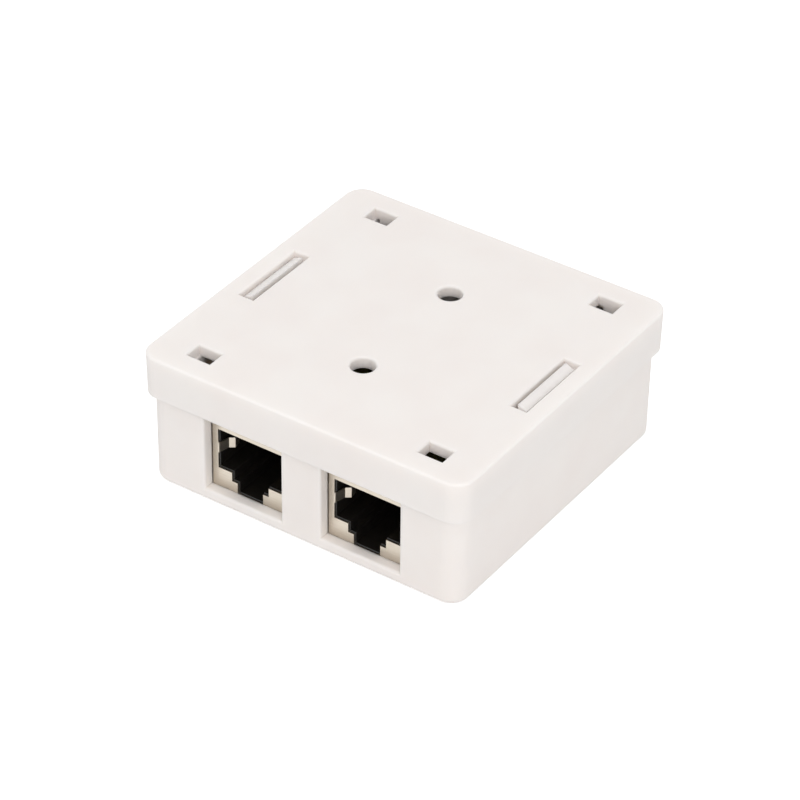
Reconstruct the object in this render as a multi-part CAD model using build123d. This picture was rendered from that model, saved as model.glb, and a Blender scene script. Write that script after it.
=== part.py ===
from build123d import *
import os

# Two-port surface mount jack box, millimetres.
# It lies on its cover: z = 0 is the cover's outer face and the mounting face is on top.
# x runs along the port face, left to right as seen from the front, and y runs from the ports to the back.
# The origin is the middle of the footprint.

# Mouldings
step_inset = 1.0            # the cover stands back from the base's skirt by this, all round
corner_radius = 3.2
cover_wall = 1.9
cover_floor = 1.6
cover_draft = 0.5           # degrees, narrower towards the outer face
face_edge_radius = 1.0      # round edge of the cover's outer face
lip_height = 3.1            # the cover's lip goes this far up inside the skirt
lip_clearance = 0.15
plate_thickness = 2.0
skirt_height = 7.25
skirt_wall = 1.5
skirt_draft = 1.2           # degrees, narrower towards the free edge
plate_edge_radius = 0.4

# Modular jacks
port_gap = 7.4              # between the two jacks
jack_side = 1.25            # plug opening to the outside of the jack
jack_roof = 1.9             # above the plug opening
shield_sheet = 0.3
shield_edge = 0.12          # bend where the front sheet turns into the sides
plug_width = 11.7           # inside the black cavity
plug_height = 6.95
latch_shelf_width = 6.6
latch_shelf_depth = 1.6
latch_notch_width = 4.5
latch_notch_depth = 1.9
notch_floor = 0.2           # black plastic left under the latch notch
shield_reveal = 0.15        # the sheet's opening is this much larger than the cavity, all round
shield_fit = 0.05           # air between the sheet and the black housing
cavity_depth = 14.0
mouth_lead = 0.12           # chamfer round the mouth of the black cavity
jack_wall_gap = 0.2         # from the jack's face to the inside of the cover's front wall
jack_floor_gap = 0.15       # from the jack to the cover's floor
window_clearance = 0.05     # window edge to shield, each side
sill_height = 0.45          # window sill above the underside of the jack
window_edge_radius = 0.45   # outer edge, round the U
tab_width = 1.6             # ground tabs of the shield, through the board
tab_front = 5.8             # first tab, from the jack's face
tab_spacing = 7.7
catch_width = 2.2           # nub on the black housing that holds the shield
catch_height = 1.2
catch_fit = 0.2

# Ground fingers folded out of the shield into the cavity
finger_width = 1.85
finger_sheet = 0.22
finger_height = 7.55        # middle of the finger above the underside of the jack
finger_reach = 1.3          # how far the bump stands into the cavity
finger_run = 2.05           # depth at which the finger turns inwards
finger_lean = 0.5           # drift towards the plug over that run
finger_turn = 0.6           # depth over which it turns in
finger_tail = 1.2           # end behind the bump
finger_tail_lean = 0.2
finger_bend = 0.12
finger_relief = 0.4         # recess in the black side wall beside the finger

# Contact springs
contact_count = 8
contact_pitch = 1.02
contact_width = 0.45
contact_thickness = 0.3
contact_front = 2.6         # depth of the front bend
contact_fall = 4.05         # free end below the roof of the plug cavity
contact_bend = 0.4
contact_drop = 0.96         # front bend, from the straight run down to the sloping part
contact_end_gap = 1.2       # free end to the back of the plug cavity
spring_fit = 0.06           # spring in its comb slot, each side
spring_seat = 0.02          # spring to the carrier above it
line_gap = 0.05             # straight run above the cavity's roof

# Carrier that holds the springs
carrier_fit = 0.1
carrier_nose = 0.4          # carrier in front of the springs' bends
carrier_shoulder = 1.4      # its rear part is wider by this, each side
bay_wall = 1.2              # black plastic between the plug cavity and the carrier's rear part
bay_floor = 1.0
comb_depth = 3.6
comb_drop = 0.8             # teeth below the springs' free ends
comb_slot_drop = 0.5
pin_room = 0.4              # slot past each pin
pin_front = 0.3             # first row of pins behind the wall before the carrier
tail_back = 1.4             # last row of pins to the shield's back
tail_row_gap = 2.0
tail_stand = 0.7            # pins stand this far out of the board

# Circuit board and its seats
board_thickness = 1.6
board_standoff = 5.3
board_corner = 1.0
jack_overhang = 1.15        # the jack's face stands this far out over the board's front edge
pin_clearance = 0.15
access_hole_radius = 3.7    # lets a screwdriver and screw head through the board

# Terminal blocks
terminal_ways = 4
terminal_pitch = 4.2
terminal_end = 0.3          # plastic past the last tower at each end
terminal_width = 5.0
terminal_height = 11.0
terminal_offset = 4.6       # block axis from its port's axis
terminal_gap = 1.9          # behind the jack
wire_slot_width = 1.3
wire_slot_depth = 6.8
blade_width = 2.8
blade_thickness = 0.5
blade_slit = 0.35
blade_top_gap = 1.4         # blade tips lie this far below the towers
blade_fit = 0.1
blade_corner = 0.5
blade_lead = 0.4            # flare of the slit at the tips
blade_lead_depth = 0.8
blade_slit_end = 0.6        # slit stops this far short of the wire slot's floor
tower_lead = 0.7            # chamfer on the towers
terminal_pin_width = 0.7

# Screen clamps and their screws
clamp_gap = 2.0             # behind the terminal blocks
clamp_length = 6.5
clamp_sheet = 0.8
clamp_inner_width = 6.0     # room for the cable
clamp_rise = 6.9            # how far the saddle's back stands off the board
clamp_saddle_radius = 2.8
clamp_bend = 0.4            # inner radius where foot and leg meet
clamp_margin = 3.55         # board left behind the clamps
screw_radius = 1.1
screw_fit = 0.05
screw_head_radius = 1.9
screw_head_gap = 0.1        # screw head to the clamp's bend
screw_head_height = 1.5
screw_bite = 4.0            # thread engaged in the boss
screw_head_edge = 0.4
screw_recess = 0.7
screw_recess_width = 0.5
screw_recess_length = 2.3
pilot_spare = 0.2           # pilot hole past the screw's end
boss_radius = 2.5

# Snap hooks that hold the board, with the core hole beside each
hook_width = 2.6
hook_stem = 1.0
hook_overhang = 0.9
hook_head = 1.6
hook_land = 0.3
hook_clearance = 0.2
hook_board_gap = 0.1
core_hole_side_gap = 0.85
core_hole_reach = 3.1
core_rib_width = 1.0        # rib beside each core hole, on the outer side
core_rib_height = 2.0
core_rib_step = 0.35        # the rib stands this far into view under the hole
hook_jack_gap = 1.0         # core hole to the jack beside it
board_side_margin = 0.3     # board past the core hole
post_radius = 2.0
post_core_gap = 3.0         # first post to the core hole before it
rib_width = 1.0
rib_height = 1.5

# Snap tongues of the cover, seen in the base's long slots
tongue_thickness = 1.0
tongue_width = 13.2
tongue_board_gap = 0.9
tongue_wall_gap = 1.2
tongue_sink = 0.1           # below the mounting face
tongue_root = 3.0           # height of the web at its foot
barb_reach = 0.55
barb_ramp = 0.7
barb_land = 0.3
barb_clearance = 0.1
slot_flex_gap = 0.75
slot_outer_gap = 0.5
slot_end_gap = 0.8
slot_end_clearance = 0.25   # tongue to the ledge at each end
ledge_depth = 1.3           # catch ledge below the mounting face

# Screw holes in the mounting face
screw_hole_spacing = 23.5
screw_hole_radius = 1.98
hole_edge_radius = 0.4      # round edge of every opening in the mounting face

# Cable knock-outs in the back wall
knockout_width = 8.0
knockout_floor = 7.0        # height of the lower edge
knockout_web = 0.8
knockout_groove = 0.35

# Jack, from its plug
shield_width = plug_width + 2 * jack_side
port_pitch = shield_width + port_gap
roof_height = notch_floor + shield_sheet + latch_notch_depth + latch_shelf_depth + plug_height
jack_height = roof_height + jack_roof
contact_free_height = roof_height - contact_fall
jack_depth = cavity_depth + bay_wall + pin_front + tail_row_gap + tail_back + shield_sheet

# Levels, from the cover's outer face up
jack_bottom = cover_floor + jack_floor_gap
board_bottom = jack_bottom + jack_height
board_top = board_bottom + board_thickness
plate_inner = board_top + board_standoff
box_height = plate_inner + plate_thickness
step_level = box_height - skirt_height
lip_top = step_level + lip_height
pin_end = board_top + tail_stand

# Half widths, from the middle out
port_x = port_pitch / 2
hook_hole_width = hook_width + 2 * core_hole_side_gap
hook_x = port_x + shield_width / 2 + hook_jack_gap + hook_hole_width / 2
board_half_x = hook_x + hook_hole_width / 2 + board_side_margin
clamp_reach = (
    clamp_inner_width / 2 + clamp_sheet + clamp_bend + screw_head_gap + screw_head_radius
)                           # screw from the middle of its clamp
tongue_inner = board_half_x + tongue_board_gap
tongue_outer = tongue_inner + tongue_thickness
cover_inner_x = tongue_outer + tongue_wall_gap
cover_half_x = cover_inner_x + cover_wall
half_x = cover_half_x + step_inset

# Half depths, from the middle out
terminal_length = terminal_ways * terminal_pitch + 2 * terminal_end
board_depth = (
    jack_depth - jack_overhang + terminal_gap + terminal_length + clamp_gap + clamp_length + clamp_margin
)
board_half_y = board_depth / 2
hook_inner_y = board_half_y + hook_clearance
hook_outer_y = hook_inner_y + hook_stem
cover_inner_y = hook_outer_y + hook_clearance
cover_half_y = cover_inner_y + cover_wall
half_y = cover_half_y + step_inset
jack_face_y = -(cover_inner_y - jack_wall_gap)
jack_back_y = jack_face_y + jack_depth
terminal_y = jack_back_y + terminal_gap + terminal_length / 2
clamp_y = terminal_y + terminal_length / 2 + clamp_gap + clamp_length / 2
board_y = jack_face_y + jack_overhang + board_half_y

sides = {"left": -1, "right": 1}
rows = {"inner": -1, "outer": 1}


def block(x, y, z):
    """Box between pairs of limits."""
    size = [high - low for low, high in (x, y, z)]
    middle = [(high + low) / 2 for low, high in (x, y, z)]
    return Pos(*middle) * Box(*size)


def drafted_block(half_width, half_length, radius, wide_level, narrow_level, draft):
    """Rounded block that narrows from one level down to the other."""
    plane = Plane(origin=(0, 0, wide_level), x_dir=(1, 0, 0), z_dir=(0, 0, -1))
    outline = plane * RectangleRounded(2 * half_width, 2 * half_length, radius)
    return extrude(outline, amount=wide_level - narrow_level, taper=draft)


def across_x(points, width, middle=0):
    """Prism along x from an outline of (y, z) points."""
    plane = Plane(origin=(middle - width / 2, 0, 0), x_dir=(0, 1, 0), z_dir=(1, 0, 0))
    return extrude(plane * make_face(Polyline(*points, close=True)), amount=width)


def across_y(points, width, middle=0):
    """Prism along y from an outline of (x, z) points."""
    plane = Plane(origin=(0, middle + width / 2, 0), x_dir=(1, 0, 0), z_dir=(0, -1, 0))
    return extrude(plane * make_face(Polyline(*points, close=True)), amount=width)


def cylinder(x, y, low, high, radius):
    """Upright cylinder between two levels."""
    return Pos(x, y, (low + high) / 2) * Cylinder(radius, high - low)


def strip(path, width, thickness, side):
    """Flat strip that follows a bent path, with its width along side."""
    start = Plane(origin=path @ 0, x_dir=side, z_dir=path % 0)
    return sweep(start * Rectangle(width, thickness), path=path)


def save(name, shape):
    """Write one node."""
    export_step(shape, f"parts/{name}.step")


# Cover moulding
def window(x):
    """Port window, open at the cover's rim."""
    half = shield_width / 2 + window_clearance
    sill = jack_bottom + sill_height
    return block((x - half, x + half), (-half_y, -cover_inner_y + cover_wall), (sill, lip_top + cover_wall))


def snap_tongue(sign):
    """Springy tongue that stands on the cover's floor and ends in an outward barb."""
    top = box_height - tongue_sink
    tip = tongue_outer + barb_reach
    outline = [
        (tongue_inner, cover_floor / 2),
        (tongue_inner, top),
        (tip, top - barb_ramp),
        (tip, top - barb_ramp - barb_land),
        (tongue_outer, top - barb_ramp - barb_land),
        (tongue_outer, cover_floor + tongue_root),
        (cover_inner_x, cover_floor),
        (cover_inner_x, cover_floor / 2),
    ]
    return across_y([(sign * x, z) for x, z in outline], tongue_width)


def knockout(x):
    """Thin break-out panel for a cable: a pocket inside, an open lip above it and a groove outside."""
    half = knockout_width / 2
    web_y = cover_half_y - knockout_web

    def panel(margin, low_y, high_y, top):
        wide = half + margin
        centre = knockout_floor + half
        shape = block((x - wide, x + wide), (low_y, high_y), (centre, top))
        drum = Pos(x, (low_y + high_y) / 2, centre) * Rot(90, 0, 0) * Cylinder(wide, high_y - low_y)
        return shape + drum

    pocket = panel(0, cover_inner_y - cover_wall, web_y, lip_top + cover_wall)
    gap = block((x - half, x + half), (web_y - cover_wall, half_y), (step_level, lip_top + cover_wall))
    face_y = cover_half_y - knockout_groove
    ring = panel(0, face_y, half_y, step_level) - panel(-knockout_groove, 0, 2 * half_y, step_level)
    return pocket + gap + ring


def on_window_rim(edge):
    """Whether an edge is on the outer front face, round one of the two windows."""
    place = edge.center()
    half = shield_width / 2 + window_clearance
    beside = abs(abs(place.X) - port_x) < half + window_edge_radius
    inside = cover_floor < place.Z < step_level
    return beside and inside and place.Y < -(cover_half_y + cover_inner_y) / 2


def make_cover():
    body = drafted_block(cover_half_x, cover_half_y, corner_radius, step_level, 0, cover_draft)
    body = fillet(body.edges().group_by(Axis.Z)[0], face_edge_radius)
    lip_x = half_x - skirt_wall - lip_clearance
    lip_y = half_y - skirt_wall - lip_clearance
    lip_radius = corner_radius - (half_x - lip_x) / 2
    body += extrude(
        Plane.XY.offset(step_level) * RectangleRounded(2 * lip_x, 2 * lip_y, lip_radius), amount=lip_height
    )
    inner_radius = corner_radius - cover_wall
    body -= drafted_block(cover_inner_x, cover_inner_y, inner_radius, lip_top, cover_floor, cover_draft)
    body += snap_tongue(-1) + snap_tongue(1)
    for sign in sides.values():
        body -= window(sign * port_x)
        body -= knockout(sign * port_x)
    rim = body.edges().filter_by(on_window_rim)
    return fillet(rim, window_edge_radius)


# Base moulding
def board_hook(x_sign, y_sign):
    """Snap hook under the board's edge, seen as an outline in y and z."""
    face = board_bottom - hook_board_gap
    inner = hook_inner_y
    outline = [
        (inner, plate_inner + plate_thickness / 2),
        (inner, face),
        (inner - hook_overhang, face),
        (inner - hook_overhang, face - hook_land),
        (inner, face - hook_head),
        (hook_outer_y, face - hook_head),
        (hook_outer_y, plate_inner + plate_thickness / 2),
    ]
    return across_x([(y_sign * y, z) for y, z in outline], hook_width, x_sign * hook_x)


def core_hole(x_sign, y_sign):
    """Rectangular hole in the plate over the hook's head."""
    half = hook_hole_width / 2
    limits = sorted((y_sign * hook_inner_y, y_sign * (hook_inner_y - core_hole_reach)))
    x = x_sign * hook_x
    return block((x - half, x + half), limits, (plate_inner, box_height + plate_thickness))


def core_rib(x_sign, y_sign):
    """Rib under the plate along the core hole's outer side, longer than the hole at both ends."""
    inner = hook_x + hook_hole_width / 2 - core_rib_step
    across = sorted((x_sign * inner, x_sign * (inner + core_rib_width)))
    end = hook_inner_y - core_hole_reach - core_rib_width
    along = sorted((y_sign * hook_outer_y, y_sign * end))
    return block(across, along, (plate_inner - core_rib_height, plate_inner + plate_thickness / 2))


def snap_slot(sign):
    """Long slot for a snap tongue, longer and wider above the catch ledge."""
    low_half = tongue_width / 2 + slot_end_clearance
    half = tongue_width / 2 + slot_end_gap
    inner = tongue_inner - slot_flex_gap
    tip = tongue_outer + barb_reach
    ledge = box_height - ledge_depth
    upper = sorted((sign * inner, sign * (tip + slot_outer_gap)))
    lower = sorted((sign * inner, sign * (tip + barb_clearance)))
    slot = block(upper, (-half, half), (ledge, box_height + plate_thickness))
    return slot + block(lower, (-low_half, low_half), (plate_inner - plate_thickness, ledge))


def clamp_screw_places():
    """Centres of the four clamp screws."""
    return [(side * port_x + end * clamp_reach, clamp_y) for side in sides.values() for end in (-1, 1)]


def make_base():
    body = drafted_block(half_x, half_y, corner_radius, box_height, step_level, skirt_draft)
    body = fillet(body.edges().group_by(Axis.Z)[-1], plate_edge_radius)
    inner_radius = corner_radius - skirt_wall
    hollow = RectangleRounded(2 * (half_x - skirt_wall), 2 * (half_y - skirt_wall), inner_radius)
    body -= extrude(Plane.XY.offset(step_level) * hollow, amount=plate_inner - step_level)
    post_y = (core_hole_reach + post_core_gap + post_radius - hook_inner_y, 0)
    for x_sign in sides.values():
        x = x_sign * hook_x
        for y in post_y:
            body += cylinder(x, y, board_top, plate_inner + plate_thickness / 2, post_radius)
        rib = (x - rib_width / 2, x + rib_width / 2)
        body += block(rib, post_y, (plate_inner - rib_height, plate_inner + rib_width))
        for y_sign in (-1, 1):
            body += board_hook(x_sign, y_sign) + core_rib(x_sign, y_sign)
    for x, y in clamp_screw_places():
        body += cylinder(x, y, board_top, plate_inner + plate_thickness / 2, boss_radius)
        body -= cylinder(x, y, board_bottom, board_top + screw_bite + pilot_spare, screw_radius + screw_fit)
    for x_sign in sides.values():
        body -= snap_slot(x_sign)
        for y_sign in (-1, 1):
            body -= core_hole(x_sign, y_sign)
    through = (plate_inner - plate_thickness, box_height + plate_thickness)
    for y_sign in (-1, 1):
        body -= cylinder(0, y_sign * screw_hole_spacing / 2, *through, screw_hole_radius)
    openings = [wire.edges() for wire in body.faces().sort_by(Axis.Z)[-1].inner_wires()]
    return fillet([edge for edges in openings for edge in edges], hole_edge_radius)


# Circuit board
def tail_y(index):
    """Depth behind the jack's face of one contact's pin, in two staggered rows."""
    return jack_depth - shield_sheet - tail_back - (index % 2) * tail_row_gap


def tab_places():
    """Depths behind the jack's face of the shield's ground tabs."""
    return (tab_front, tab_front + tab_spacing)


def terminal_places():
    """Depth of each way of a terminal block."""
    return [terminal_y + (way - (terminal_ways - 1) / 2) * terminal_pitch for way in range(terminal_ways)]


def contact_x(index):
    return (index - (contact_count - 1) / 2) * contact_pitch


def make_board():
    plane = Plane.XY.offset(board_bottom)
    outline = Pos(0, board_y, 0) * RectangleRounded(2 * board_half_x, 2 * board_half_y, board_corner)
    body = extrude(plane * outline, amount=board_thickness)
    low, high = board_bottom - board_thickness, board_top + board_thickness
    for y_sign in (-1, 1):
        body -= cylinder(0, y_sign * screw_hole_spacing / 2, low, high, access_hole_radius)
    for x, y in clamp_screw_places():
        body -= cylinder(x, y, low, high, screw_radius + pin_clearance)
    for side in sides.values():
        x = side * port_x
        pin = contact_width / 2 + pin_clearance
        for index in range(contact_count):
            pin_x = x + contact_x(index)
            pin_y = jack_face_y + tail_y(index)
            body -= block((pin_x - pin, pin_x + pin), (pin_y - pin, pin_y + pin), (low, high))
        for end in (-1, 1):
            tab_x = x + end * (shield_width - shield_sheet) / 2
            thin = shield_sheet / 2 + pin_clearance
            wide = tab_width / 2 + pin_clearance
            for depth in tab_places():
                y = jack_face_y + depth
                body -= block((tab_x - thin, tab_x + thin), (y - wide, y + wide), (low, high))
        thin = blade_thickness / 2 + pin_clearance
        wide = terminal_pin_width / 2 + pin_clearance
        for row in rows.values():
            pin_x = side * (port_x + row * terminal_offset)
            for y in terminal_places():
                body -= block((pin_x - thin, pin_x + thin), (y - wide, y + wide), (low, high))
    return body


# Modular jack, made at x = 0 with its face at y = 0 and its underside at z = 0
def plug_opening(margin, depth, start=0):
    """Plug-shaped prism: main opening, shelf and latch notch, which points down."""
    notch = notch_floor + shield_sheet
    shelf = notch + latch_notch_depth
    floor = shelf + latch_shelf_depth
    top = floor + plug_height + margin
    main = plug_width / 2 + margin
    ledge = latch_shelf_width / 2 + margin
    narrow = latch_notch_width / 2 + margin
    half = [
        (narrow, notch - margin),
        (narrow, shelf - margin),
        (ledge, shelf - margin),
        (ledge, floor - margin),
        (main, floor - margin),
        (main, top),
    ]
    outline = half + [(-x, z) for x, z in reversed(half)]
    return across_y(outline, depth, start + depth / 2)


def shield_finger(sign):
    """Ground finger: folds back from the opening's edge, then turns in to a bump and out again."""
    edge = plug_width / 2 + shield_reveal
    middle = finger_sheet / 2
    points = [
        (edge + finger_sheet, middle),
        (edge, middle),
        (edge - finger_lean, finger_run),
        (edge - finger_reach, finger_run + finger_turn),
        (edge - finger_reach + finger_tail_lean, finger_run + finger_turn + finger_tail),
    ]
    path = FilletPolyline(*[(sign * x, y, finger_height) for x, y in points], radius=finger_bend)
    return strip(path, finger_width, finger_sheet, (0, 0, 1))


def make_shield():
    outer_x = shield_width / 2
    inner_x = outer_x - shield_sheet
    top = jack_height - shield_fit * 2
    body = block((-outer_x, outer_x), (0, jack_depth), (0, top))
    body = fillet(body.edges().filter_by(Axis.Z), shield_edge)
    inner_y = (shield_sheet, jack_depth - shield_sheet)
    tab = (top - tab_width, pin_end - jack_bottom)
    body -= block((-inner_x, inner_x), inner_y, (shield_sheet, jack_height))
    body -= plug_opening(shield_reveal, 2 * shield_sheet, -shield_sheet / 2)
    for sign in (-1, 1):
        body += shield_finger(sign)
        wall = sorted((sign * inner_x, sign * outer_x))
        for y in tab_places():
            body += block(wall, (y - tab_width / 2, y + tab_width / 2), tab)
        through = sorted((sign * (inner_x - shield_sheet), sign * (outer_x + shield_sheet)))
        body -= side_catch(through, catch_fit)
    return body


def side_catch(limits, margin):
    """Block at the middle of the jack's side: the housing's nub, or the shield's window for it."""
    wide = catch_width / 2 + margin
    high = catch_height / 2 + margin
    y = jack_depth / 2
    z = jack_height / 2
    return block(limits, (y - wide, y + wide), (z - high, z + high))


def make_housing():
    outer_x = shield_width / 2 - shield_sheet - shield_fit
    front = shield_sheet + shield_fit
    back = jack_depth - shield_sheet - shield_fit
    bottom = shield_sheet + shield_fit
    body = block((-outer_x, outer_x), (front, back), (bottom, jack_height))
    body -= plug_opening(0, cavity_depth, 0)
    mouth = body.faces().filter_by(Axis.Y).sort_by(Axis.Y)[0].inner_wires()[0]
    body = chamfer(mouth.edges(), mouth_lead)
    comb_half = contact_count * contact_pitch / 2 + carrier_fit
    bay_half = comb_half + carrier_shoulder
    comb_low = contact_free_height - comb_drop - carrier_fit
    nose = contact_front - carrier_nose - carrier_fit
    past = jack_depth
    over = 2 * jack_height
    body -= block((-comb_half, comb_half), (nose, past), (roof_height - carrier_fit, over))
    body -= block((-comb_half, comb_half), (cavity_depth - carrier_fit, past), (comb_low, over))
    body -= block((-bay_half, bay_half), (cavity_depth + bay_wall, past), (bottom + bay_floor, over))
    finger_end = finger_run + finger_turn + finger_tail + carrier_fit
    half = finger_width / 2 + carrier_fit
    for sign in (-1, 1):
        edge = plug_width / 2
        relief = sorted((sign * (edge - finger_relief), sign * (edge + finger_relief)))
        body -= block(relief, (0, finger_end), (finger_height - half, finger_height + half))
        nub = sorted((sign * (outer_x - shield_sheet), sign * (outer_x + shield_sheet)))
        body += side_catch(nub, 0)
    return body


def contact_line_height():
    """Height of the straight run of a contact, just under the carrier's tongue."""
    return roof_height + contact_thickness / 2 + line_gap


def make_carrier():
    comb_half = contact_count * contact_pitch / 2
    bay_half = comb_half + carrier_shoulder - carrier_fit
    back = jack_depth - shield_sheet - 2 * shield_fit
    top = jack_height - carrier_fit
    seat = contact_line_height() + contact_thickness / 2 + spring_seat
    bay_start = cavity_depth + bay_wall + carrier_fit
    bay_low = shield_sheet + shield_fit + bay_floor + carrier_fit
    body = block((-comb_half, comb_half), (contact_front - carrier_nose, back), (seat, top))
    body += block((-bay_half, bay_half), (bay_start, back), (bay_low, top))
    comb_low = contact_free_height - comb_drop
    body += block((-comb_half, comb_half), (bay_start - comb_depth, back), (comb_low, seat))
    half = contact_width / 2 + spring_fit
    slot_low = contact_free_height - comb_slot_drop
    pin_slot_low = contact_line_height() - contact_thickness
    for index in range(contact_count):
        limits = (contact_x(index) - half, contact_x(index) + half)
        body -= block(limits, (contact_front, bay_start), (slot_low, seat))
        body -= block(limits, (cavity_depth, tail_y(index) + pin_room), (pin_slot_low, jack_height))
    return body


def make_contacts():
    """Eight springs: pin, straight run to the front, bend, and the sloping part that meets the plug."""
    line = contact_line_height()
    springs = []
    for index in range(contact_count):
        x = contact_x(index)
        points = [
            (x, tail_y(index), pin_end - jack_bottom),
            (x, tail_y(index), line),
            (x, contact_front, line),
            (x, contact_front, line - contact_drop),
            (x, cavity_depth - contact_end_gap, contact_free_height),
        ]
        path = FilletPolyline(*points, radius=contact_bend)
        springs.append(strip(path, contact_width, contact_thickness, (1, 0, 0)).solid())
    return springs


# Terminal block, made at x = 0 with its back on the board
def make_terminal_block():
    """Row of towers with a wire slot at each way and a pocket for each blade."""
    tip = board_bottom - terminal_height
    slot_floor = tip + wire_slot_depth
    start = terminal_y - terminal_length / 2
    end = terminal_y + terminal_length / 2
    half = wire_slot_width / 2
    lead = tower_lead
    outline = [(start, board_bottom), (start, tip + lead), (start + lead, tip)]
    for y in terminal_places():
        outline += [
            (y - half - lead, tip),
            (y - half, tip + 2 * lead),
            (y - half, slot_floor),
            (y + half, slot_floor),
            (y + half, tip + 2 * lead),
            (y + half + lead, tip),
        ]
    outline += [(end - lead, tip), (end, tip + lead), (end, board_bottom)]
    body = across_x(outline, terminal_width)
    wide = blade_width / 2 + blade_fit
    thin = blade_thickness / 2 + blade_fit
    for y in terminal_places():
        pocket = (tip + blade_top_gap - blade_fit, board_top)
        body -= block((-thin, thin), (y - wide, y + wide), pocket)
    return body


def make_terminal_contacts():
    """Forked blades, each slit from its tip, with a pin through the board."""
    tip = board_bottom - terminal_height + blade_top_gap
    shoulder = board_bottom - blade_fit
    half = blade_width / 2
    slit = blade_slit / 2
    pin = terminal_pin_width / 2
    slit_end = tip + wire_slot_depth - blade_top_gap - blade_slit_end
    corner = tip + blade_corner
    lead = tip + blade_lead_depth
    blades = []
    for y in terminal_places():
        outline = [
            (y - half, corner),
            (y - half + blade_corner, tip),
            (y - slit - blade_lead, tip),
            (y - slit, lead),
            (y - slit, slit_end),
            (y + slit, slit_end),
            (y + slit, lead),
            (y + slit + blade_lead, tip),
            (y + half - blade_corner, tip),
            (y + half, corner),
            (y + half, shoulder),
            (y + pin, shoulder),
            (y + pin, pin_end),
            (y - pin, pin_end),
            (y - pin, shoulder),
            (y - half, shoulder),
        ]
        blades.append(across_x(outline, blade_thickness).solid())
    return blades


# Screen clamp, made at x = 0
def make_clamp():
    """Bent strip: foot, leg, round back over the cable, leg and foot, with a screw hole in each foot."""
    middle = board_bottom - clamp_sheet / 2
    leg = clamp_inner_width / 2 + clamp_sheet / 2
    foot = clamp_reach + screw_head_radius + screw_head_gap
    back = board_bottom - clamp_rise + clamp_sheet / 2
    points = [(-foot, middle), (-leg, middle), (-leg, back), (leg, back), (leg, middle), (foot, middle)]
    bend = clamp_bend + clamp_sheet / 2
    radii = [bend, clamp_saddle_radius, clamp_saddle_radius, bend]
    path = FilletPolyline(*[(x, clamp_y, z) for x, z in points], radius=radii)
    body = strip(path, clamp_length, clamp_sheet, (0, 1, 0))
    through = (middle - clamp_sheet, middle + clamp_sheet)
    for sign in (-1, 1):
        body -= cylinder(sign * clamp_reach, clamp_y, *through, screw_radius + pin_clearance)
    return body


def make_clamp_screws():
    """Pan-head screws with a cross recess."""
    face = board_bottom - clamp_sheet
    top = face - screw_head_height
    long = screw_recess_length / 2
    thin = screw_recess_width / 2
    recess = (top - screw_recess, top + screw_recess)
    screws = []
    for x, y in clamp_screw_places():
        screw = cylinder(x, y, top, face, screw_head_radius)
        screw = chamfer(screw.edges().group_by(Axis.Z)[0], screw_head_edge)
        screw += cylinder(x, y, face, board_top + screw_bite, screw_radius)
        screw -= block((x - long, x + long), (y - thin, y + thin), recess)
        screw -= block((x - thin, x + thin), (y - long, y + long), recess)
        screws.append(screw.solid())
    return screws


os.makedirs("parts", exist_ok=True)
save("cover", make_cover())
save("base", make_base())
save("circuit_board", make_board())
shield = make_shield()
housing = make_housing()
carrier = make_carrier()
contacts = make_contacts()
terminal_block = make_terminal_block()
terminal_contacts = make_terminal_contacts()
clamp = make_clamp()
for side, sign in sides.items():
    seat = Pos(sign * port_x, jack_face_y, jack_bottom)
    save(f"jack_shield_{side}", seat * shield)
    save(f"jack_housing_{side}", seat * housing)
    save(f"contact_carrier_{side}", seat * carrier)
    save(f"jack_contacts_{side}", Compound([seat * spring for spring in contacts]))
    save(f"screen_clamp_{side}", Pos(sign * port_x, 0, 0) * clamp)
    for row, step in rows.items():
        place = Pos(sign * (port_x + step * terminal_offset), 0, 0)
        save(f"terminal_block_{side}_{row}", place * terminal_block)
        save(f"terminal_contacts_{side}_{row}", Compound([place * blade for blade in terminal_contacts]))
save("clamp_screws", Compound(make_clamp_screws()))
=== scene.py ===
import math

import bpy
from mathutils import Matrix, Vector


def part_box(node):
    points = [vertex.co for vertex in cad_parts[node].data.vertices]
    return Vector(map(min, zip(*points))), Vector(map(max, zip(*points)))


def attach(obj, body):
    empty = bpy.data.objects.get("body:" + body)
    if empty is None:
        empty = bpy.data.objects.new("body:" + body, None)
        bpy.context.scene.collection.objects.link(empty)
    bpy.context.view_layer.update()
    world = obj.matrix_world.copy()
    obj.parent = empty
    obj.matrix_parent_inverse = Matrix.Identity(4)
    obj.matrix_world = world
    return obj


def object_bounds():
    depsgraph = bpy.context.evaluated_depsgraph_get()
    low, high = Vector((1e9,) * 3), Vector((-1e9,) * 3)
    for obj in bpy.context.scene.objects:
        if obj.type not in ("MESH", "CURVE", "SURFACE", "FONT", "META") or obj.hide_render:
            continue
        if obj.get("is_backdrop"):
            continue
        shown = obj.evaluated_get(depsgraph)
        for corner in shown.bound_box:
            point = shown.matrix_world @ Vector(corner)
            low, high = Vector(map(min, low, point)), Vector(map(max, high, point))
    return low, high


# Two-port surface mount jack box, which lies on its cover with the mounting face up.
# The sections follow the box as it is put together, from the base moulding to the cover.
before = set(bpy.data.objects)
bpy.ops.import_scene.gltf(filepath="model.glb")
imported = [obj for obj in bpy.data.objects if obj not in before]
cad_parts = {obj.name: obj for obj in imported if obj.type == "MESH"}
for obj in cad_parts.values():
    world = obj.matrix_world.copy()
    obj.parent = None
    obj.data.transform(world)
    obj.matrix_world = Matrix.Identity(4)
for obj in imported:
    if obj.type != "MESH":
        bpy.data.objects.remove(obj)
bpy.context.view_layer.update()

# Base moulding
# The wall plate with its skirt, posts and snap hooks, in ABS that is white right through.
# It is injection moulded in a spark-eroded tool, which leaves a fine even grain, a dull sheen,
# edges that are never quite sharp and a faint waviness where the wall has shrunk.
MM = 0.001
NOISE_MIDDLE = (0.35, 0.65)
BEVEL_SAMPLES = 6
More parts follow.
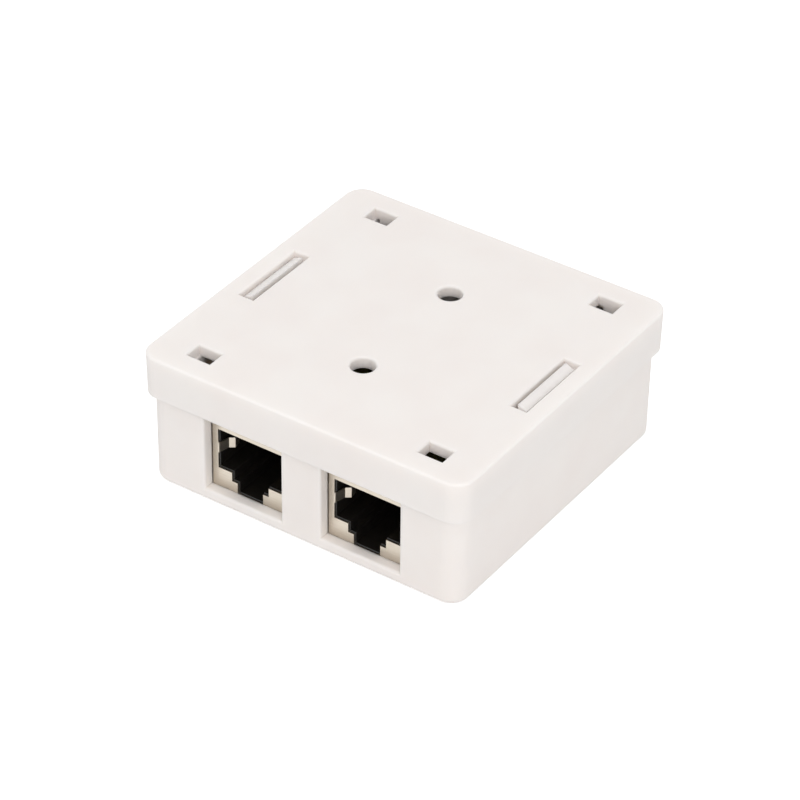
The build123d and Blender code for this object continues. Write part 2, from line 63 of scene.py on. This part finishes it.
ABS_WHITE = "#F6F0EC"
ABS_WHITE_SHADE = "#F4EDE9"
ABS_IOR = 1.53
ABS_ROUGHNESS = (0.6, 0.7)
ABS_GRAIN_MM = 0.16
ABS_GRAIN_DEPTH_MM = 0.012
ABS_GRAIN_STRENGTH = 0.5
ABS_WAVE_MM = 11.0
ABS_WAVE_DEPTH_MM = 0.05
ABS_WAVE_STRENGTH = 0.4
ABS_EDGE_MM = 0.12
ABS_SCATTER = 0.7
ABS_SCATTER_MM = (1.5, 1.48, 1.42)


def linear(code):
    """Linear colour of an sRGB hex value."""
    channels = [int(code[i:i + 2], 16) / 255 for i in (1, 3, 5)]
    return [c / 12.92 if c <= 0.04045 else ((c + 0.055) / 1.055) ** 2.4 for c in channels] + [1.0]


def add(tree, kind, inputs, **settings):
    """Add a node with its settings; each input is a value or the socket that feeds it."""
    node = tree.nodes.new(kind)
    for name, value in settings.items():
        setattr(node, name, value)
    for name, value in inputs.items():
        if isinstance(value, bpy.types.NodeSocket):
            tree.links.new(value, node.inputs[name])
        else:
            node.inputs[name].default_value = value
    return node


def new_finish(name, ior=None, metallic=0.0):
    """Material with its shader, and the Object coordinates that its patterns follow."""
    material = bpy.data.materials.new(name)
    material.use_nodes = True
    tree = material.node_tree
    shader = tree.nodes["Principled BSDF"]
    shader.inputs["Metallic"].default_value = metallic
    if ior:
        shader.inputs["IOR"].default_value = ior
    place = add(tree, "ShaderNodeTexCoord", {}).outputs["Object"]
    return material, tree, shader, place


def noise(tree, place, size_mm, detail=2.0):
    """Noise whose lumps are about a size in millimetres."""
    inputs = {"Vector": place, "Scale": 1 / (size_mm * MM), "Detail": detail}
    return add(tree, "ShaderNodeTexNoise", inputs).outputs["Fac"]


def spread(tree, factor, low, high):
    """Bring the middle of a noise to a pair of limits."""
    middle_low, middle_high = NOISE_MIDDLE
    limits = {"From Min": middle_low, "From Max": middle_high, "To Min": low, "To Max": high}
    return add(tree, "ShaderNodeMapRange", {"Value": factor, **limits}).outputs["Result"]


def blend_colours(tree, factor, first, second):
    """Mix two hex colours by a noise."""
    mix = add(tree, "ShaderNodeMix", {"Factor": spread(tree, factor, 0.0, 1.0)}, data_type="RGBA")
    mix.inputs["A"].default_value = linear(first)
    mix.inputs["B"].default_value = linear(second)
    return mix.outputs["Result"]


def dress(material, slot, *nodes):
    """Give CAD nodes their finish."""
    for name in nodes:
        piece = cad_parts[name]
        for place in piece.material_slots:
            place.material = material


white_abs, tree, shader, place = new_finish("white_moulded_abs", ior=ABS_IOR)
wave = noise(tree, place, ABS_WAVE_MM)
grain = noise(tree, place, ABS_GRAIN_MM, detail=3.0)
edge = add(tree, "ShaderNodeBevel", {"Radius": ABS_EDGE_MM * MM}, samples=BEVEL_SAMPLES)
swell = add(
    tree,
    "ShaderNodeBump",
    {
        "Height": wave,
        "Distance": ABS_WAVE_DEPTH_MM * MM,
        "Strength": ABS_WAVE_STRENGTH,
        "Normal": edge.outputs["Normal"],
    },
)
skin = add(
    tree,
    "ShaderNodeBump",
    {
        "Height": grain,
        "Distance": ABS_GRAIN_DEPTH_MM * MM,
        "Strength": ABS_GRAIN_STRENGTH,
        "Normal": swell.outputs["Normal"],
    },
)
tree.links.new(skin.outputs["Normal"], shader.inputs["Normal"])
tree.links.new(blend_colours(tree, wave, ABS_WHITE, ABS_WHITE_SHADE), shader.inputs["Base Color"])
tree.links.new(spread(tree, grain, *ABS_ROUGHNESS), shader.inputs["Roughness"])
shader.inputs["Subsurface Weight"].default_value = ABS_SCATTER
shader.inputs["Subsurface Radius"].default_value = ABS_SCATTER_MM
shader.inputs["Subsurface Scale"].default_value = MM
dress(white_abs, "case_white", "base")

# Circuit board
# Glass-epoxy board, 1.6 mm, with a dark olive green solder mask over copper tracks on both faces.
# The mask is glossy and lighter over the copper; the cut edges show the bare yellowish laminate.
MASK_GREEN = "#33371A"
MASK_OVER_COPPER = "#4C5028"
LAMINATE = "#8C8350"
MASK_IOR = 1.5
MASK_ROUGHNESS = 0.24
TRACK_CELL_MM = 6.12  # four rows of tracks
TRACK_ANGLE = math.radians(45)
TRACK_WIDTH = 0.05
TRACK_SOFTNESS = 0.3
TRACK_DEPTH_MM = 0.03
MASK_UNEVENNESS = 0.25
FACE_SLOPE = 0.5  # steeper faces are the cut edges

board_finish, tree, shader, place = new_finish("solder_masked_laminate", ior=MASK_IOR)
shader.inputs["Roughness"].default_value = MASK_ROUGHNESS
turned = add(tree, "ShaderNodeMapping", {"Vector": place, "Rotation": (0, 0, TRACK_ANGLE)})
tracks = add(
    tree,
    "ShaderNodeTexBrick",
    {
        "Vector": turned.outputs["Vector"],
        "Scale": 1 / (TRACK_CELL_MM * MM),
        "Color1": (0, 0, 0, 1),
        "Color2": (MASK_UNEVENNESS, MASK_UNEVENNESS, MASK_UNEVENNESS, 1),
        "Mortar": (1, 1, 1, 1),
        "Mortar Size": TRACK_WIDTH,
        "Mortar Smooth": TRACK_SOFTNESS,
    },
)
normal = add(tree, "ShaderNodeNewGeometry", {}).outputs["Normal"]
flat = add(tree, "ShaderNodeSeparateXYZ", {"Vector": normal})
up = add(tree, "ShaderNodeMath", {0: flat.outputs["Z"]}, operation="ABSOLUTE")
face = add(tree, "ShaderNodeMath", {0: up.outputs["Value"], 1: FACE_SLOPE}, operation="GREATER_THAN")
mask = add(tree, "ShaderNodeMix", {"Factor": tracks.outputs["Color"]}, data_type="RGBA")
mask.inputs["A"].default_value = linear(MASK_GREEN)
mask.inputs["B"].default_value = linear(MASK_OVER_COPPER)
whole = add(
    tree,
    "ShaderNodeMix",
    {"Factor": face.outputs["Value"], "B": mask.outputs["Result"]},
    data_type="RGBA",
)
whole.inputs["A"].default_value = linear(LAMINATE)
raised = add(
    tree,
    "ShaderNodeBump",
    {"Height": tracks.outputs["Color"], "Distance": TRACK_DEPTH_MM * MM},
)
tree.links.new(whole.outputs["Result"], shader.inputs["Base Color"])
tree.links.new(raised.outputs["Normal"], shader.inputs["Normal"])
dress(board_finish, "board_green", "circuit_board")

# Modular jacks, black parts
# Housing and contact carrier, in black glass-filled PBT, moulded with thin walls.
# The glass fibre leaves a slightly streaky skin, so it shines along its edges only.
PBT_BLACK = "#0D0B09"
PBT_BLACK_LIGHT = "#161310"
PBT_IOR = 1.55
PBT_ROUGHNESS = (0.36, 0.48)
PBT_FIBRE_MM = 0.35
PBT_FIBRE_DEPTH_MM = 0.01
PBT_FIBRE_STRENGTH = 0.4
PBT_EDGE_MM = 0.08

black_pbt, tree, shader, place = new_finish("black_glass_filled_pbt", ior=PBT_IOR)
fibre = noise(tree, place, PBT_FIBRE_MM, detail=4.0)
edge = add(tree, "ShaderNodeBevel", {"Radius": PBT_EDGE_MM * MM}, samples=BEVEL_SAMPLES)
skin = add(
    tree,
    "ShaderNodeBump",
    {
        "Height": fibre,
        "Distance": PBT_FIBRE_DEPTH_MM * MM,
        "Strength": PBT_FIBRE_STRENGTH,
        "Normal": edge.outputs["Normal"],
    },
)
tree.links.new(skin.outputs["Normal"], shader.inputs["Normal"])
tree.links.new(blend_colours(tree, fibre, PBT_BLACK, PBT_BLACK_LIGHT), shader.inputs["Base Color"])
tree.links.new(spread(tree, fibre, *PBT_ROUGHNESS), shader.inputs["Roughness"])
for side in ("left", "right"):
    dress(black_pbt, "housing_black", f"jack_housing_{side}", f"contact_carrier_{side}")

# Contact springs
# Round-edged strips of phosphor bronze under hard gold over nickel, bent and combed into the carrier.
# Gold this thin is pale and smooth, with faint marks along the strip from the forming tool.
GOLD = "#DDB768"
GOLD_PALE = "#E6C987"
GOLD_ROUGHNESS = (0.16, 0.26)
GOLD_STREAK_MM = 0.4
GOLD_STREAK_THIN = 6

gold, tree, shader, place = new_finish("hard_gold_on_bronze", metallic=1.0)
stretch = (GOLD_STREAK_THIN, 1, GOLD_STREAK_THIN)
drawn = add(tree, "ShaderNodeMapping", {"Vector": place, "Scale": stretch})
streak = noise(tree, drawn.outputs["Vector"], GOLD_STREAK_MM)
tree.links.new(blend_colours(tree, streak, GOLD, GOLD_PALE), shader.inputs["Base Color"])
tree.links.new(spread(tree, streak, *GOLD_ROUGHNESS), shader.inputs["Roughness"])
for side in ("left", "right"):
    dress(gold, "contact_gold", f"jack_contacts_{side}")

# Jack shields
# Folded covers of thin tinned bronze sheet, with the plug's opening and two ground fingers stamped in.
# Tin over bronze is a warm grey, with rolling marks along the sheet and a soft satin reflection.
TIN_WARM = "#D2CABD"
TIN_WARM_DARK = "#CDC4B6"
TIN_ROUGHNESS = (0.34, 0.38)
TIN_STREAK_MM = 2.4
TIN_STREAK_THIN = 14
TIN_STREAK_DEPTH_MM = 0.002
TIN_STREAK_STRENGTH = 0.2
TIN_EDGE_MM = 0.05

tinned, tree, shader, place = new_finish("tinned_bronze_sheet", metallic=1.0)
rolled = add(tree, "ShaderNodeMapping", {"Vector": place, "Scale": (1, 1, TIN_STREAK_THIN)})
streak = noise(tree, rolled.outputs["Vector"], TIN_STREAK_MM, detail=4.0)
edge = add(tree, "ShaderNodeBevel", {"Radius": TIN_EDGE_MM * MM}, samples=BEVEL_SAMPLES)
skin = add(
    tree,
    "ShaderNodeBump",
    {
        "Height": streak,
        "Distance": TIN_STREAK_DEPTH_MM * MM,
        "Strength": TIN_STREAK_STRENGTH,
        "Normal": edge.outputs["Normal"],
    },
)
tree.links.new(skin.outputs["Normal"], shader.inputs["Normal"])
tree.links.new(blend_colours(tree, streak, TIN_WARM, TIN_WARM_DARK), shader.inputs["Base Color"])
tree.links.new(spread(tree, streak, *TIN_ROUGHNESS), shader.inputs["Roughness"])
for side in ("left", "right"):
    dress(tinned, "shield_tin", f"jack_shield_{side}")

# Terminal blocks
# Four-way punch-down towers in natural PBT, an ivory white that is a little glossier than the case.
# The forked blades in them are bronze under dull silver, sheared at the tips.
PBT_IVORY = "#E4E1D6"
PBT_IVORY_SHADE = "#DAD6C8"
IVORY_ROUGHNESS = (0.34, 0.44)
IVORY_GRAIN_MM = 0.9
SILVER = "#C9C6BF"
SILVER_DARK = "#B4B0A8"
SILVER_ROUGHNESS = (0.24, 0.36)
SILVER_GRAIN_MM = 0.5

ivory_pbt, tree, shader, place = new_finish("ivory_pbt", ior=PBT_IOR)
grain = noise(tree, place, IVORY_GRAIN_MM)
edge = add(tree, "ShaderNodeBevel", {"Radius": PBT_EDGE_MM * MM}, samples=BEVEL_SAMPLES)
tree.links.new(edge.outputs["Normal"], shader.inputs["Normal"])
tree.links.new(blend_colours(tree, grain, PBT_IVORY, PBT_IVORY_SHADE), shader.inputs["Base Color"])
tree.links.new(spread(tree, grain, *IVORY_ROUGHNESS), shader.inputs["Roughness"])

silver, tree, shader, place = new_finish("silvered_bronze", metallic=1.0)
grain = noise(tree, place, SILVER_GRAIN_MM, detail=4.0)
tree.links.new(blend_colours(tree, grain, SILVER, SILVER_DARK), shader.inputs["Base Color"])
tree.links.new(spread(tree, grain, *SILVER_ROUGHNESS), shader.inputs["Roughness"])
for side in ("left", "right"):
    for row in ("inner", "outer"):
        dress(ivory_pbt, "terminal_white", f"terminal_block_{side}_{row}")
        dress(silver, "terminal_silver", f"terminal_contacts_{side}_{row}")

# Solder joints
# Where a pin comes through the board, a cone of solder with hollow sides holds it to its pad.
# There is one for every contact, shield tab and terminal blade, on the face towards the wall.
SOLDER = "#C6C7C6"
SOLDER_ROUGHNESS = 0.2
SOLDER_RIPPLE_MM = 0.25
SOLDER_RIPPLE_DEPTH_MM = 0.02
SOLDER_RIPPLE_STRENGTH = 0.5
PAD_RADIUS_MM = 0.46
JOINT_TOP_RADIUS_MM = 0.3
JOINT_HEIGHT_MM = 0.62
JOINT_HOLLOW = 2.4
JOINT_RINGS = 7
JOINT_SIDES = 14
CONTACTS = 8
CONTACT_PITCH_MM = 1.02
CONTACT_THICKNESS_MM = 0.3
PIN_ROW_GAP_MM = 2.0
TERMINAL_WAYS = 4
TERMINAL_PITCH_MM = 4.2
TAB_DEPTHS_MM = (5.8, 13.5)
SHIELD_SHEET_MM = 0.3

solder, tree, shader, place = new_finish("tin_solder", metallic=1.0)
shader.inputs["Base Color"].default_value = linear(SOLDER)
cooled = noise(tree, place, SOLDER_RIPPLE_MM)
skin = add(
    tree,
    "ShaderNodeBump",
    {
        "Height": cooled,
        "Distance": SOLDER_RIPPLE_DEPTH_MM * MM,
        "Strength": SOLDER_RIPPLE_STRENGTH,
    },
)
tree.links.new(skin.outputs["Normal"], shader.inputs["Normal"])
shader.inputs["Roughness"].default_value = SOLDER_ROUGHNESS

board_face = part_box("circuit_board")[1][2]
pins = []
for side in ("left", "right"):
    low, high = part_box(f"jack_contacts_{side}")
    middle = (low[0] + high[0]) / 2
    for index in range(CONTACTS):
        x = middle + (index - (CONTACTS - 1) / 2) * CONTACT_PITCH_MM * MM
        y = high[1] - (CONTACT_THICKNESS_MM / 2 + (index % 2) * PIN_ROW_GAP_MM) * MM
        pins.append((x, y, board_face))
    low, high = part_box(f"jack_shield_{side}")
    for depth in TAB_DEPTHS_MM:
        for x in (low[0] + SHIELD_SHEET_MM / 2 * MM, high[0] - SHIELD_SHEET_MM / 2 * MM):
            pins.append((x, low[1] + depth * MM, board_face))
    for row in ("inner", "outer"):
        low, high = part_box(f"terminal_contacts_{side}_{row}")
        for way in range(TERMINAL_WAYS):
            step = way - (TERMINAL_WAYS - 1) / 2
            y = (low[1] + high[1]) / 2 + step * TERMINAL_PITCH_MM * MM
            pins.append(((low[0] + high[0]) / 2, y, board_face))


def joint_tree():
    """Cone with hollow sides on every point: a line whose radius falls off quickly, made solid."""
    tree = bpy.data.node_groups.new("solder_joint", "GeometryNodeTree")
    tree.interface.new_socket("Places", in_out="INPUT", socket_type="NodeSocketGeometry")
    sizes = {"Pad radius": PAD_RADIUS_MM, "Top radius": JOINT_TOP_RADIUS_MM, "Height": JOINT_HEIGHT_MM}
    for name, value in sizes.items():
        socket = tree.interface.new_socket(name, in_out="INPUT", socket_type="NodeSocketFloat")
        socket.default_value = value * MM
    tree.interface.new_socket("Finish", in_out="INPUT", socket_type="NodeSocketMaterial")
    tree.interface.new_socket("Joints", in_out="OUTPUT", socket_type="NodeSocketGeometry")
    given = tree.nodes.new("NodeGroupInput").outputs
    top = add(tree, "ShaderNodeCombineXYZ", {"Z": given["Height"]})
    line = add(tree, "GeometryNodeCurvePrimitiveLine", {"End": top.outputs["Vector"]})
    steps = add(
        tree, "GeometryNodeResampleCurve", {"Curve": line.outputs["Curve"], "Count": JOINT_RINGS}
    )
    along = add(tree, "GeometryNodeSplineParameter", {}).outputs["Factor"]
    left = add(tree, "ShaderNodeMath", {0: 1.0, 1: along}, operation="SUBTRACT")
    fall = add(tree, "ShaderNodeMath", {0: left.outputs["Value"], 1: JOINT_HOLLOW}, operation="POWER")
    foot = add(
        tree, "ShaderNodeMath", {0: given["Pad radius"], 1: given["Top radius"]}, operation="SUBTRACT"
    )
    radius = add(
        tree,
        "ShaderNodeMath",
        {0: fall.outputs["Value"], 1: foot.outputs["Value"], 2: given["Top radius"]},
        operation="MULTIPLY_ADD",
    )
    ring = add(tree, "GeometryNodeCurvePrimitiveCircle", {"Resolution": JOINT_SIDES, "Radius": 1.0})
    cone = add(
        tree,
        "GeometryNodeCurveToMesh",
        {
            "Curve": steps.outputs["Curve"],
            "Profile Curve": ring.outputs["Curve"],
            "Scale": radius.outputs["Value"],
            "Fill Caps": True,
        },
    )
    copies = add(
        tree,
        "GeometryNodeInstanceOnPoints",
        {"Points": given["Places"], "Instance": cone.outputs["Mesh"]},
    )
    real = add(tree, "GeometryNodeRealizeInstances", {"Geometry": copies.outputs["Instances"]})
    finished = add(
        tree,
        "GeometryNodeSetMaterial",
        {"Geometry": real.outputs["Geometry"], "Material": given["Finish"]},
    )
    add(tree, "NodeGroupOutput", {"Joints": finished.outputs["Geometry"]})
    return tree


def grow(name, points, tree, inputs):
    """Plain mesh that a tree of geometry nodes makes on a set of points."""
    seeds = bpy.data.meshes.new(f"{name}_seeds")
    seeds.from_pydata(points, [], [])
    piece = bpy.data.objects.new(name, seeds)
    bpy.context.scene.collection.objects.link(piece)
    modifier = piece.modifiers.new(name, "NODES")
    modifier.node_group = tree
    given = [item for item in tree.interface.items_tree if item.in_out == "INPUT"]
    sockets = {item.name: item.identifier for item in given}
    for label, value in inputs.items():
        modifier[sockets[label]] = value
    evaluated = piece.evaluated_get(bpy.context.evaluated_depsgraph_get())
    made = bpy.data.meshes.new_from_object(evaluated)
    piece.modifiers.remove(modifier)
    piece.data = made
    made.name = name
    return piece


solder_joints = grow("solder_joints", pins, joint_tree(), {"Finish": solder})
for polygon in solder_joints.data.polygons:
    polygon.use_smooth = len(polygon.vertices) == 4
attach(solder_joints, "base")

# Screen clamps
# Bent steel saddles that press the cables' braid to the board's ground, each held by two small screws.
# Both are zinc plated: a cool grey with a slightly mottled, silky face.
ZINC = "#BEC0C1"
ZINC_DARK = "#A5A8AA"
ZINC_ROUGHNESS = (0.28, 0.42)
ZINC_SPANGLE_MM = 0.8
ZINC_EDGE_MM = 0.08

zinc, tree, shader, place = new_finish("zinc_plated_steel", metallic=1.0)
spangle = noise(tree, place, ZINC_SPANGLE_MM, detail=3.0)
edge = add(tree, "ShaderNodeBevel", {"Radius": ZINC_EDGE_MM * MM}, samples=BEVEL_SAMPLES)
tree.links.new(edge.outputs["Normal"], shader.inputs["Normal"])
tree.links.new(blend_colours(tree, spangle, ZINC, ZINC_DARK), shader.inputs["Base Color"])
tree.links.new(spread(tree, spangle, *ZINC_ROUGHNESS), shader.inputs["Roughness"])
dress(zinc, "clamp_steel", "screen_clamp_left", "screen_clamp_right", "clamp_screws")

# Cover moulding
# The deep shell with the two port windows, which snaps over everything. It is the base's white ABS,
# with the same grain, and its face lies on the table here.
dress(white_abs, "case_white", "cover")

# Floor
# Plain pale sweep. What the camera and reflections see of it is a little brighter than its own white,
# so that it meets the white background, and the box's shadow stays on it.
FLOOR_WHITE = "#EDEDED"
FLOOR_LIFT = 0.5
FLOOR_HALF_M = 3.0


def seen_directly(tree):
    """1 where the camera, a reflection or clear plastic sees it, and 0 where it lights the box."""
    rays = add(tree, "ShaderNodeLightPath", {}).outputs
    direct = add(
        tree,
        "ShaderNodeMath",
        {0: rays["Is Camera Ray"], 1: rays["Is Glossy Ray"]},
        operation="MAXIMUM",
    )
    through = add(
        tree,
        "ShaderNodeMath",
        {0: direct.outputs["Value"], 1: rays["Is Transmission Ray"]},
        operation="MAXIMUM",
    )
    return through.outputs["Value"]


floor_mesh = bpy.data.meshes.new("floor")
corners = [(-1, -1), (1, -1), (1, 1), (-1, 1)]
floor_mesh.from_pydata([(x * FLOOR_HALF_M, y * FLOOR_HALF_M, 0) for x, y in corners], [], [(0, 1, 2, 3)])
floor = bpy.data.objects.new("floor", floor_mesh)
bpy.context.scene.collection.objects.link(floor)
floor_finish = bpy.data.materials.new("pale_floor")
floor_finish.use_nodes = True
tree = floor_finish.node_tree
shader = tree.nodes["Principled BSDF"]
shader.inputs["Base Color"].default_value = linear(FLOOR_WHITE)
shader.inputs["Roughness"].default_value = 0.9
shader.inputs["Specular IOR Level"].default_value = 0.1
shader.inputs["Emission Color"].default_value = (1, 1, 1, 1)
lift = add(tree, "ShaderNodeMath", {0: seen_directly(tree), 1: FLOOR_LIFT}, operation="MULTIPLY")
tree.links.new(lift.outputs["Value"], shader.inputs["Emission Strength"])
floor_mesh.materials.append(floor_finish)
floor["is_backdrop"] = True

# Light
# A white room, and two broad lamps: one in front, beside the camera, which fills the windows and the
# holes, and one overhead. Seen directly the room is plain white.
ROOM_LEVEL = 0.7
LAMPS = {
    "front_softbox": {"place": Vector((0.52, -0.62, 0.54)), "size": 0.6, "watts": 2.3},
    "overhead_softbox": {"place": Vector((-0.1, -0.15, 0.95)), "size": 0.6, "watts": 1.5},
}

world = bpy.data.worlds.new("light_tent")
world.use_nodes = True
bpy.context.scene.world = world
tree = world.node_tree
sky = tree.nodes["Background"]
sky.inputs["Color"].default_value = (1, 1, 1, 1)
level = add(
    tree,
    "ShaderNodeMapRange",
    {"Value": seen_directly(tree), "To Min": ROOM_LEVEL, "To Max": 1.0},
)
tree.links.new(level.outputs["Result"], sky.inputs["Strength"])

for name, lamp in LAMPS.items():
    lamp_data = bpy.data.lights.new(name, "AREA")
    lamp_data.size = lamp["size"]
    lamp_data.energy = lamp["watts"]
    lamp_object = bpy.data.objects.new(name, lamp_data)
    lamp_object.location = lamp["place"]
    lamp_object.rotation_euler = (-lamp["place"]).to_track_quat("-Z", "Y").to_euler()
    bpy.context.scene.collection.objects.link(lamp_object)

# Camera
# Where the photograph was taken from, worked out from the box's edges: in front, to the right and
# above, far enough away for a long lens, and turned very slightly.
CAMERA_AZIMUTH = math.radians(-33.86)
CAMERA_ELEVATION = math.radians(35.92)
CAMERA_ROLL = math.radians(1.03)
CAMERA_AIM = Vector((0.608, -2.527, 11.8)) * MM
CAMERA_DISTANCE = 583.8 * MM
FOCAL_PIXELS = 3801.7
PHOTO_PIXELS = 800
SENSOR_MM = 36.0

ahead = Vector(
    (
        math.sin(CAMERA_AZIMUTH) * math.cos(CAMERA_ELEVATION),
        math.cos(CAMERA_AZIMUTH) * math.cos(CAMERA_ELEVATION),
        -math.sin(CAMERA_ELEVATION),
    )
)
right = ahead.cross(Vector((0, 0, 1))).normalized()
above = right.cross(ahead)
turned_right = right * math.cos(CAMERA_ROLL) + above * math.sin(CAMERA_ROLL)
turned_up = above * math.cos(CAMERA_ROLL) - right * math.sin(CAMERA_ROLL)
camera_data = bpy.data.cameras.new("camera")
camera_data.sensor_width = SENSOR_MM
camera_data.lens = FOCAL_PIXELS / PHOTO_PIXELS * SENSOR_MM
camera_data.clip_start = 0.05
camera_data.clip_end = 20
camera = bpy.data.objects.new("camera", camera_data)
camera.matrix_world = Matrix.Translation(CAMERA_AIM - ahead * CAMERA_DISTANCE) @ Matrix(
    (turned_right, turned_up, -ahead)
).transposed().to_4x4()
bpy.context.scene.collection.objects.link(camera)
bpy.context.scene.camera = camera
bpy.context.scene.view_settings.view_transform = "Standard"

# Size
# The box that the shown pieces fill, the floor left out.
low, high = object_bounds()
